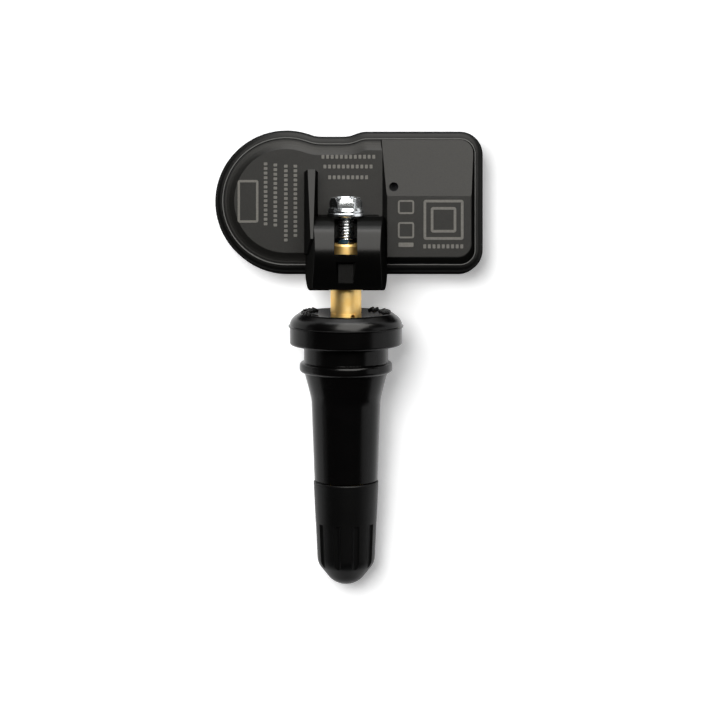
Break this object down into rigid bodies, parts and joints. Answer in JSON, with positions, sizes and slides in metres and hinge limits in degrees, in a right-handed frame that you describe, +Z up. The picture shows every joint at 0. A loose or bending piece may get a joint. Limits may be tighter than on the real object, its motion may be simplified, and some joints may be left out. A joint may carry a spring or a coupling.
{
  "type": "tyre pressure sensor",
  "caption": "Tyre pressure sensor in a flat moulded housing with a hooded clamp that holds a tilting snap-in rubber valve stem with a fluted dust cap.",
  "frame": {"origin": "on the surface the sensor lies on, under the middle of its bounding box", "axes": "+Z up out of the printed face, +Y from the valve cap towards the back of the housing, +X towards the square end with the vent"},
  "size_m": [0.0466, 0.0792, 0.0205],
  "materials": {
    "housing_plastic": "black glass-filled nylon with a fine matt texture",
    "board": "green solder mask",
    "cell_can": "bright plated can",
    "nickel_strip": "plain nickel",
    "chip_mould": "matt moulding compound",
    "seal_rubber": "matt soft rubber",
    "ferrite": "matt sintered",
    "copper_wire": "enamelled wire",
    "ceramic": "matt ceramic",
    "brass": "turned brass",
    "black_rubber": "black rubber, glossy from the mould",
    "zinc_steel": "bright zinc plate",
    "gasket_red": "smooth red seal",
    "cap_plastic": "black moulded plastic, slightly glossy"
  },
  "bodies": {
    "sensor": {"housing": "housing_plastic", "base_cover": "housing_plastic", "circuit_board": "board", "battery": "cell_can", "battery_tab_upper": "nickel_strip", "battery_tab_lower": "nickel_strip", "sensor_chip": "chip_mould", "vent_seal": "seal_rubber", "coil_core": "ferrite", "coil_winding": "copper_wire", "crystal": "nickel_strip", "antenna": "brass", "chip_capacitors": "ceramic"},
    "stem": {"brass_stem": "brass", "rubber_body": "black_rubber", "core_body": "brass", "core_gasket": "gasket_red", "core_spring": "nickel_strip"},
    "core_pin": {"core_pin": "brass", "core_pin_seal": "seal_rubber"},
    "washer": {"screw_washer": "zinc_steel"},
    "screw": {"clamp_screw": "zinc_steel"},
    "cap_seal": {"cap_seal": "seal_rubber"},
    "cap": {"cap": "cap_plastic"}
  },
  "joints": [
    {"name": "stem_tilt", "type": "hinge", "parent": "sensor", "child": "stem", "pos_m": [-0.0005, 0.01787, 0.0124], "axis": [1, 0, 0], "range_deg": [-6, 31]},
    {"name": "screw_back_off", "type": "slide", "parent": "stem", "child": "washer", "axis": [0, 0.9906, 0.1369], "range_m": [0, 0.0015]},
    {"name": "screw_turn", "type": "hinge", "parent": "washer", "child": "screw", "pos_m": [-0.0005, 0.01787, 0.0124], "axis": [0, 0.9906, 0.1369], "range_deg": [0, 1080]},
    {"name": "cap_lift", "type": "slide", "parent": "stem", "child": "cap_seal", "axis": [0, -0.9906, -0.1369], "range_m": [0, 0.0127]},
    {"name": "cap_turn", "type": "hinge", "parent": "cap_seal", "child": "cap", "pos_m": [-0.0005, 0.01787, 0.0124], "axis": [0, -0.9906, -0.1369], "range_deg": [0, 5760]},
    {"name": "core_pin_press", "type": "slide", "parent": "stem", "child": "core_pin", "axis": [0, 0.9906, 0.1369], "range_m": [0, 0.0012], "stiffness_N_per_m": 1000, "springref_m": -0.001, "deforming": ["core_spring"]}
  ],
  "couplings": [
    {"joint": "screw_turn", "follows": "screw_back_off", "rad_per_m": 12566},
    {"joint": "cap_turn", "follows": "cap_lift", "rad_per_m": 7913.3}
  ]
}
